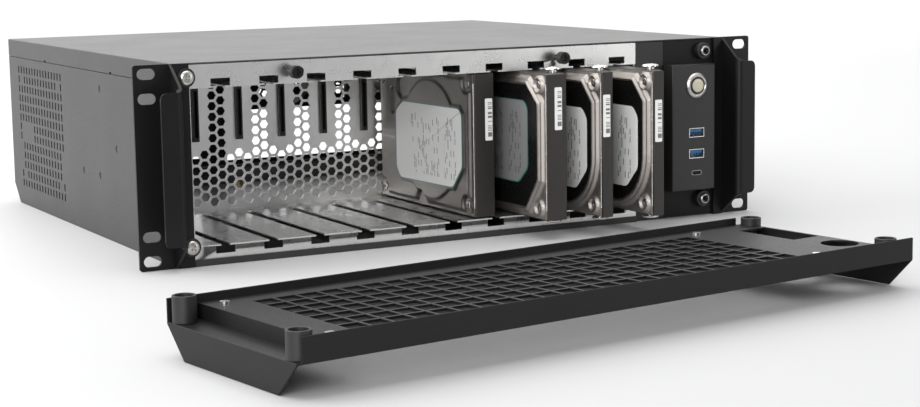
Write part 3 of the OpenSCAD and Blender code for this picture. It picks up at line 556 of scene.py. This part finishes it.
def cover_plate(number, shape, outline, look):
    """A drive's lid as a fine height grid with a closed back."""
    case_low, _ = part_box(f"drive_{number}_case")
    rise = case_low.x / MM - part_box(f"drive_{number}_cover")[0].x / MM
    edge = 0.9
    us = np.linspace(edge, DRIVE_LENGTH - edge, round(DRIVE_LENGTH / COVER_STEP))
    vs = np.linspace(edge, DRIVE_WIDTH - edge, round(DRIVE_WIDTH / COVER_STEP))
    u, v = np.meshgrid(us, vs, indexing="ij")
    height, field = shape(u, v, rise, outline)
    bm = bmesh.new()
    grid = [[bm.verts.new((case_low.x - height[i, j] * MM, case_low.y + us[i] * MM,
                           case_low.z + vs[j] * MM)) for j in range(len(vs))] for i in range(len(us))]
    for i in range(len(us) - 1):
        for j in range(len(vs) - 1):
            face = bm.faces.new((grid[i][j], grid[i][j + 1], grid[i + 1][j + 1], grid[i + 1][j]))
            face.material_index = int(field[i, j] and field[i + 1, j + 1])
    last_i, last_j = len(us) - 1, len(vs) - 1
    border = [(i, 0) for i in range(last_i)] + [(last_i, j) for j in range(last_j)]
    border += [(last_i - i, last_j) for i in range(last_i)] + [(0, last_j - j) for j in range(last_j)]
    back = [bm.verts.new((case_low.x, case_low.y + us[i] * MM, case_low.z + vs[j] * MM))
            for i, j in border]
    for k, (i, j) in enumerate(border):
        i2, j2 = border[(k + 1) % len(border)]
        bm.faces.new((grid[i][j], grid[i2][j2], back[(k + 1) % len(border)], back[k]))
    bm.faces.new(back)
    mesh = mesh_from(bm, f"drive_{number}_lid", 55.0)
    add_piece(f"drive_{number}_lid", mesh, f"drive_{number}", [look, "field"],
              [f"drive_{number}_cover"])


def flat_plate(name, corners, place, thick, body, look, toward):
    """A thin plate grown from its corners along an axis, with its map in millimetres."""
    bm = bmesh.new()
    verts = [bm.verts.new((place(c))) for c in corners]
    face = bm.faces.new(verts)
    grown = bmesh.ops.extrude_face_region(bm, geom=[face])
    moved = [g for g in grown["geom"] if isinstance(g, bmesh.types.BMVert)]
    bmesh.ops.translate(bm, verts=moved, vec=Vector(toward) * thick * MM)
    uv = bm.loops.layers.uv.new("UVMap")
    around = {v: corners[i % len(corners)] for i, v in enumerate(verts)}
    for v_new in moved:
        near = min(verts, key=lambda w: (w.co - v_new.co).length)
        around[v_new] = around[near]
    first = (min(c[0] for c in corners), min(c[1] for c in corners))
    for f in bm.faces:
        for loop in f.loops:
            c = around[loop.vert]
            loop[uv].uv = (c[1] - first[1], c[0] - first[0])
    mesh = mesh_from(bm, name, 30.0)
    return add_piece(name, mesh, body, [look])


def rounded(corners, radius, steps=4):
    """The outline with its corners rounded."""
    made = []
    for before, here, after in zip(corners[-1:] + corners[:-1], corners, corners[1:] + corners[:1]):
        a = Vector(before) - Vector(here)
        b = Vector(after) - Vector(here)
        a, b = a.normalized() * radius, b.normalized() * radius
        for k in range(steps + 1):
            t = k / steps
            p = Vector(here) + a * (1 - t) ** 2 + b * t ** 2
            made.append((p.x, p.y))
    return made


def grown(corners, amount):
    """The outline moved outwards from its middle."""
    middle = Vector((sum(c[0] for c in corners), sum(c[1] for c in corners))) / len(corners)
    return [tuple(Vector(c) + (Vector(c) - middle).normalized() * amount) for c in corners]


def label(number, corners, look, edged):
    """The label on a drive's lid, with a thin coloured edge under it on some drives."""
    case_low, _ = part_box(f"drive_{number}_case")
    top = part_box(f"drive_{number}_cover")[0].x
    sink = 0.25 * MM if number == 1 else 0.4 * MM

    def place(c):
        return (top + sink, case_low.y + c[0] * MM, case_low.z + c[1] * MM)

    outline = rounded(corners, 3.0)
    if edged:
        flat_plate(f"drive_{number}_label_edge", rounded(grown(corners, 1.3), 3.5), place, 0.08,
                   f"drive_{number}", "teal", (-1, 0, 0))
    flat_plate(f"drive_{number}_label", outline, place, 0.16, f"drive_{number}",
               look, (-1, 0, 0))


def front_sticker(number, left, low, width=5.8, tall=29.5):
    """A white sticker on the end of the casting, given from its lower left corner."""
    case_low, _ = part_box(f"drive_{number}_case")

    def place(c):
        return (case_low.x + c[0] * MM, case_low.y, case_low.z + c[1] * MM)

    corners = [(left, low), (left + width, low), (left + width, low + tall), (left, low + tall)]
    made = flat_plate(f"drive_{number}_sticker", rounded(corners, 0.9), place, 0.12, f"drive_{number}",
                      "sticker", (0, -1, 0))
    layer = made.data.uv_layers["UVMap"].data
    for entry in layer:
        entry.uv = (entry.uv[1], entry.uv[0])


def lid_edge_highlight(number):
    """A bead along the front edge of a drive's lid: the lid's real edge, drawn in bright steel as a painted
    highlight.
    """
    case_low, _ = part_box(f"drive_{number}_case")
    bm = bmesh.new()
    full = BEAD_END + BEAD_TAPER
    bead = [(0, BEAD_END), (HIGHLIGHT_BEAD, full), (HIGHLIGHT_BEAD, DRIVE_WIDTH - full), (0, DRIVE_WIDTH - BEAD_END)]
    place = (case_low.x + BEAD_PLACE[0] * MM, case_low.y + BEAD_PLACE[1] * MM, case_low.z)
    turn(bm, bead, place, (0, 0, 1), 12)
    # Bright steel on the lid's edge: a painted highlight.
    add_piece(f"drive_{number}_lid_edge_highlight", mesh_from(bm, f"drive_{number}_lid_edge_highlight", 40.0),
              f"drive_{number}", ["steel"])


def lid_screws_of(number, places):
    """Small round-headed screws at the corners of a drive's lid."""
    case_low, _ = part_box(f"drive_{number}_case")
    bm = bmesh.new()
    head = [(0, 0.2), (1.6, 0.2), (1.6, 0.8), (2.7, 0.85), (2.85, 1.2), (2.6, 1.75), (2.0, 2.0),
            (star(1.2, 0.16), 2.05), (star(1.1, 0.15), 1.3), (0, 1.25)]
    for u, v in places:
        turn(bm, head, (case_low.x, case_low.y + u * MM, case_low.z + v * MM), (-1, 0, 0), 36)
    mesh = mesh_from(bm, f"drive_{number}_lid_screws", 35.0)
    add_piece(f"drive_{number}_lid_screws", mesh, f"drive_{number}", ["lid_screw"])


def guide_screws(number):
    """The mushroom-headed screws that run in the deck slots."""
    low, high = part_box(f"drive_{number}_screws")
    case_low, case_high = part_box(f"drive_{number}_case")
    reach = (high.x - low.x) / 2 / MM
    tall = (high.z - case_high.z) / MM
    under = tall - 2.0
    neck = reach - 3.0
    profile = [(0, -2.8), (1.5, -2.8), (1.5, 0), (neck, 0), (neck, under), (reach - 0.5, under + 0.05),
               (reach, under + 0.45), (reach - 0.15, under + 1.1), (reach - 0.8, under + 1.6),
               (reach - 2.2, tall - 0.05), (star(1.9, 0.25), tall), (star(1.7, 0.22), tall - 1.1),
               (0, tall - 1.2)]
    bm = bmesh.new()
    x = (low.x + high.x) / 2
    for y in (low.y + reach * MM, high.y - reach * MM):
        turn(bm, profile, (x, y, case_high.z), (0, 0, 1), 36)
        turn(bm, profile, (x, y, case_low.z), (0, 0, -1), 36)
    mesh = mesh_from(bm, f"drive_{number}_guide_screws", 35.0)
    add_piece(f"drive_{number}_guide_screws", mesh, f"drive_{number}", ["steel"],
              [f"drive_{number}_screws"])


# Control panel and screws

def cross(radius, depth):
    """Radius of a four-winged driver recess."""
    return lambda angle: radius - depth + 2 * depth * max(0.0, math.cos(4 * angle)) ** 0.7


def middle_of(cad_node):
    low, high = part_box(cad_node)
    return (low + high) / 2


def button():
    """The button's bevelled ring, its dark cap and the pale lens in it."""
    low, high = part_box("button_bezel")
    middle = middle_of("button_bezel")
    outer = (high.x - low.x) / 2 / MM
    barrel = outer - 1.7
    inner = barrel - 1.45
    deep = -(high.y - low.y) / MM
    front = (middle.x, low.y, middle.z)
    ring = [(inner, deep), (barrel, deep), (barrel, -2.2), (outer, -2.2), (outer, -1.5), (outer - 0.25, -1.1),
            (outer - 1.5, -0.15), (outer - 1.9, 0), (inner + 0.9, -0.1), (inner + 0.25, -0.45), (inner, -0.8),
            (inner, deep)]
    bm = bmesh.new()
    turn(bm, ring, front, (0, -1, 0), 64)
    bmesh.ops.remove_doubles(bm, verts=bm.verts, dist=1e-7)
    add_piece("button_ring", mesh_from(bm, "button_ring", 30.0), "case", ["ring"],
              ["button_bezel"])
    low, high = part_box("power_button")
    reach = (high.x - low.x) / 2 / MM
    back = -(high.y - low.y) / MM
    front = (middle.x, low.y, middle.z)
    cap = [(0, back), (2.94, back), (2.94, -6.0), (reach, -6.0), (reach, -0.7), (reach - 0.3, -0.4),
           (LENS_RADIUS + 0.1, -0.4), (LENS_RADIUS, -0.9), (0, -0.9)]
    bm = bmesh.new()
    turn(bm, cap, front, (0, -1, 0), 64)
    add_piece("button_cap", mesh_from(bm, "button_cap", 30.0), "button", ["plastic"],
              ["power_button"])
    lens = [(0, -0.9), (LENS_RADIUS - 0.05, -0.9), (LENS_RADIUS - 0.05, -0.45), (LENS_RADIUS - 0.35, -0.2),
            (LENS_RADIUS * 0.6, -0.06), (0, 0)]
    bm = bmesh.new()
    turn(bm, lens, front, (0, -1, 0), 64)
    add_piece("button_lens", mesh_from(bm, "button_lens", 40.0), "button", ["lens"])


def post_screw_heads():
    """Cross-recessed screws on the left ear and cup-ended ones in the right posts."""
    low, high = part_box("post_screws")
    left_x = low.x + POST_HEAD * MM
    right_x = high.x - POST_HEAD * MM
    r = POST_HEAD
    flat = [(0, -4.0), (1.95, -4.0), (1.95, -POST_HEAD_H), (r, -POST_HEAD_H), (r, -1.1), (r - 0.5, -0.5),
            (r - 1.6, -0.05), (cross(1.6, 0.75), 0), (cross(1.3, 0.6), -1.4), (0, -1.5)]
    c = CUP_HEAD
    cup = [(0, -7.0), (1.95, -7.0), (1.95, -POST_HEAD_H), (c, -POST_HEAD_H), (c, -0.7), (c - 0.4, -0.15),
           (c - 0.8, 0), (c - 1.1, -0.05), (c - 1.3, -0.5), (c - 1.4, -1.7)]
    well = [(c - 1.4, -1.7), (1.6, -1.9), (star(1.35, 0.1), -1.9), (star(1.3, 0.1), -3.2), (0, -3.2)]
    flat_bm, cup_bm, well_bm = bmesh.new(), bmesh.new(), bmesh.new()
    for z in (low.z + r * MM, high.z - r * MM):
        turn(flat_bm, flat, (left_x, POST_FRONTS[0] * MM, z), (0, -1, 0), 48)
        turn(cup_bm, cup, (right_x, POST_FRONTS[1] * MM, z), (0, -1, 0), 48)
        turn(well_bm, well, (right_x, POST_FRONTS[1] * MM, z), (0, -1, 0), 48)
    add_piece("post_screws_left", mesh_from(flat_bm, "post_screws_left", 35.0), "case",
              ["ring"], ["post_screws"])
    add_piece("post_screws_right", mesh_from(cup_bm, "post_screws_right", 35.0), "case",
              ["lid_screw"])
    add_piece("post_screw_wells", mesh_from(well_bm, "post_screw_wells", 35.0), "case",
              ["screw"])


def fan_rotor(side):
    """A fan's hub with curved blades that twist from root to tip."""
    cad_node = f"fan_{side}_rotor"
    middle = middle_of(cad_node)
    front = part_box(cad_node)[0].y
    bm = bmesh.new()
    hub = [(0, 0), (11.5, 0), (13.2, -0.5), (14.0, -1.6), (14.0, -18.6), (1.5, -18.6), (1.5, -21.6),
           (0, -21.6)]
    turn(bm, hub, (middle.x, front, middle.z), (0, -1, 0), 48)
    for blade in range(FAN_BLADES):
        start = 2 * math.pi * blade / FAN_BLADES
        rows = []
        for i in range(BLADE_STEPS + 1):
            radius = BLADE_ROOT + (FAN_REACH - BLADE_ROOT) * i / BLADE_STEPS
            row = []
            for j in range(BLADE_STEPS + 1):
                t = j / BLADE_STEPS
                sweep = 0.16 * (i / BLADE_STEPS) ** 2
                angle = start + sweep + (t - 0.5) * BLADE_CHORD / radius
                y = 2.2 + 14.6 * t + 1.4 * math.sin(math.pi * t)
                row.append(bm.verts.new((middle.x + radius * math.cos(angle) * MM, front + y * MM,
                                         middle.z + radius * math.sin(angle) * MM)))
            rows.append(row)
        faces = [bm.faces.new((rows[i][j], rows[i][j + 1], rows[i + 1][j + 1], rows[i + 1][j]))
                 for i in range(BLADE_STEPS) for j in range(BLADE_STEPS)]
        bmesh.ops.solidify(bm, geom=faces, thickness=BLADE_THICK * MM)
    add_piece(f"fan_{side}_blades", mesh_from(bm, f"fan_{side}_blades", 40.0), f"fan_{side}",
              ["plastic"], [cad_node])


def filter_mesh():
    """The cover's filter: two crossing layers of fine strands in a thin border."""
    length, width = FILTER_SIZE
    turned = math.radians(COVER_TURN)
    bm = bmesh.new()

    def strand(a, b, across, level, half):
        ends = []
        for end in (a, b):
            ring = []
            for k in range(6):
                angle = math.pi * k / 3
                x = end[0] + across[0] * half * math.cos(angle)
                y = end[1] + across[1] * half * math.cos(angle)
                z = level + half * math.sin(angle)
                ring.append(bm.verts.new(((COVER_PLACE[0] + x * math.cos(turned) - y * math.sin(turned)) * MM,
                                          (COVER_PLACE[1] + x * math.sin(turned) + y * math.cos(turned)) * MM,
                                          cad_box[0].z + z * MM)))
            ends.append(ring)
        for k in range(6):
            bm.faces.new((ends[0][k], ends[0][(k + 1) % 6], ends[1][(k + 1) % 6], ends[1][k]))
        bm.faces.new(ends[0])
        bm.faces.new(ends[1])

    for i in range(int(length / STRAND_STEP) + 1):
        x = FILTER_LEFT + i * STRAND_STEP
        strand((x, -width / 2), (x, width / 2), (1, 0), FILTER_LEVEL - STRAND_HALF, STRAND_HALF)
    for i in range(int(width / STRAND_STEP) + 1):
        y = -width / 2 + i * STRAND_STEP
        strand((FILTER_LEFT, y), (FILTER_LEFT + length, y), (0, 1), FILTER_LEVEL + STRAND_HALF, STRAND_HALF)
    add_piece("filter_strands", mesh_from(bm, "filter_strands", 40.0), "front_cover", ["mesh"],
              ["cover_filter"])


# Sheet metal: the case and the front
for name, radius, look, longest in (
        ("lid", 1.1, "case", 20.0), ("base_tray", 0.9, "case", 20.0),
        ("ear_left", 0.4, "front", 0.0), ("ear_right", 0.4, "front", 0.0),
        ("handle_left", 0.5, "front", 0.0), ("handle_right", 0.5, "front", 0.0),
        ("end_plate", 0.2, "box", 0.0), ("control_plate", 0.2, "panel", 0.0),
        ("control_box", 1.8, "box", 30.0), ("cage_top", 0.3, "zinc", 4.0),
        ("cage_bottom", 0.3, "zinc", 4.0), ("cover_frame", 0.5, "cover", 0.0),
        ("cover_bosses", 0.4, "plastic", 0.0), ("cover_posts", 0.4, "plastic", 0.0),
        ("sata_connectors", 0.3, "plastic", 0.0)):
    softened(name, radius, look, longer_than=longest)

for name, look in (
        ("lid_screws", "screw"), ("rear_panel", "case"), ("cage_side_left", "zinc"),
        ("cage_side_right", "zinc"), ("backplane_plate", "zinc_dark"),
        ("backplane_boards", "board"), ("button_switch", "plastic"), ("usb_shells", "steel"),
        ("usb_tongues", "blue"),
        ("usb_c_shell", "lid_screw"), ("usb_c_tongue", "plastic"), ("io_board", "board"),
        ("thumbscrew_left", "screw"), ("thumbscrew_right", "screw"),
        ("board_standoffs", "brass"), ("slot_covers", "zinc"), ("slot_screws", "steel"),
        ("fan_left_frame", "plastic"), ("fan_right_frame", "plastic"),
        ("fan_screws", "steel"), ("cover_tray", "cover"), ("cover_screws", "steel")):
    dress(name, look)

button()
post_screw_heads()
fan_rotor("left")
fan_rotor("right")
filter_mesh()

for number in (1, 2, 3, 4):
    softened(f"drive_{number}_case", 1.4, "casting", segments=3, longer_than=11.0)
    dress(f"drive_{number}_board", "board")
    guide_screws(number)

cover_plate(1, pressed_height, PRESSED_OUTLINE, "lid_metal")
cover_plate(2, framed_height, CUT_OUTLINE, "rim")
cover_plate(3, framed_height, ROUND_OUTLINE, "rim")
cover_plate(4, framed_height, ROUND_OUTLINE, "rim")
lid_screws_of(1, FRONT_SCREWS + REAR_SCREWS)
for number in (2, 3, 4):
    lid_screws_of(number, FRONT_SCREWS)
for number in (1, 2, 3, 4):
    lid_edge_highlight(number)
label(1, LABEL_1, "label", True)
label(2, LABEL_2, "label_shaded", True)
label(3, LABEL_3, "label_pale", False)
label(4, LABEL_3, "label_pale", False)
for number, (left, low) in STICKER_PLACES.items():
    front_sticker(number, left, low)


# Stage: floor, light and camera
FLOOR_Z = cad_box[0].z
FLOOR_HALF = 15.0
# Front and back floor colours: a painted fall-off of light, darker towards the front.
FLOOR_SHADED_FRONT = (0.42, 0.42, 0.425)
FLOOR_LIT_BACK = (0.88, 0.88, 0.88)
TENT_DARK = 0.12
TENT_BRIGHT = 1.55
TENT_TOP = 1.2

# Lights: name, place and aim in metres, size in metres, power in watts
SOFTBOXES = (
    ("top_softbox", (-0.1, 0.1, 1.6), (0, 0.1, 0), (1.6, 1.6), 14),
    ("left_softbox", (-1.5, 0.7, 1.0), (-0.35, 0.2, -0.05), (1.2, 1.0), 13),
    ("front_softbox", (1.8, -1.9, 0.5), (0.05, 0, 0), (1.0, 0.9), 9),
    ("bay_softbox", (-1.15, -1.35, 0.5), (0.05, 0.05, -0.01), (0.8, 0.8), 19))


def floor_material():
    """Pale floor whose colour grows lighter towards the back: painted light and shade, darker towards the
    front.
    """
    made, tree, shader = new_material("studio_floor")
    where = coordinates(tree)
    split = node(tree, "ShaderNodeSeparateXYZ")
    link(tree, where, split.inputs["Vector"])
    back = spread(tree, split.outputs["Y"], 0, 1, -0.8, 2.0)
    link(tree, mix_colors(tree, back, FLOOR_SHADED_FRONT, FLOOR_LIT_BACK),
         shader.inputs["Base Color"])
    shader.inputs["Roughness"].default_value = 0.6
    shader.inputs["Specular IOR Level"].default_value = 0.2
    return made


def make_floor():
    bm = bmesh.new()
    bmesh.ops.create_grid(bm, x_segments=2, y_segments=2, size=FLOOR_HALF)
    mesh = bpy.data.meshes.new("floor")
    bm.to_mesh(mesh)
    bm.free()
    mesh.materials.append(floor_material())
    made = bpy.data.objects.new("floor", mesh)
    made.location.z = FLOOR_Z - 0.0002
    bpy.context.scene.collection.objects.link(made)


def make_world():
    """A light tent: bright above, to the left and behind, darker on the camera's side."""
    world = bpy.data.worlds.new("studio")
    world.use_nodes = True
    tree = world.node_tree
    background = tree.nodes["Background"]
    background.inputs["Color"].default_value = (1.0, 1.0, 1.0, 1.0)
    split = node(tree, "ShaderNodeSeparateXYZ")
    link(tree, coordinates(tree, "Generated"), split.inputs["Vector"])
    facing = math_node(tree, "ADD", split.outputs["Y"],
                       math_node(tree, "MULTIPLY", split.outputs["X"], -0.35))
    level = math_node(tree, "MAXIMUM", spread(tree, facing, TENT_DARK, TENT_BRIGHT, -0.8, 0.6),
                      spread(tree, split.outputs["Z"], TENT_DARK, TENT_TOP, 0.35, 0.9))
    path = node(tree, "ShaderNodeLightPath")
    seen = path.outputs["Is Camera Ray"]
    strength = math_node(tree, "ADD", math_node(tree, "MULTIPLY", level,
                                                math_node(tree, "SUBTRACT", 1.0, seen)), seen)
    link(tree, strength, background.inputs["Strength"])
    bpy.context.scene.world = world


def softbox(name, place, target, size, power):
    light = bpy.data.lights.new(name, "AREA")
    light.shape = "RECTANGLE"
    light.size, light.size_y = size
    light.energy = power
    made = bpy.data.objects.new(name, light)
    made.location = place
    made.rotation_euler = (Vector(target) - Vector(place)).to_track_quat("-Z", "Y").to_euler()
    bpy.context.scene.collection.objects.link(made)


def make_camera():
    data = bpy.data.cameras.new("camera")
    data.sensor_width = SENSOR
    data.lens = CAMERA_LENS
    data.clip_start = 0.05
    made = bpy.data.objects.new("camera", data)
    made.location = CAMERA_PLACE
    made.rotation_euler = [math.radians(a) for a in CAMERA_TURN]
    bpy.context.scene.collection.objects.link(made)
    bpy.context.scene.camera = made


make_floor()
make_world()
for name, place, target, size, power in SOFTBOXES:
    softbox(name, place, target, size, power)
make_camera()
bpy.context.scene.view_settings.view_transform = "Standard"
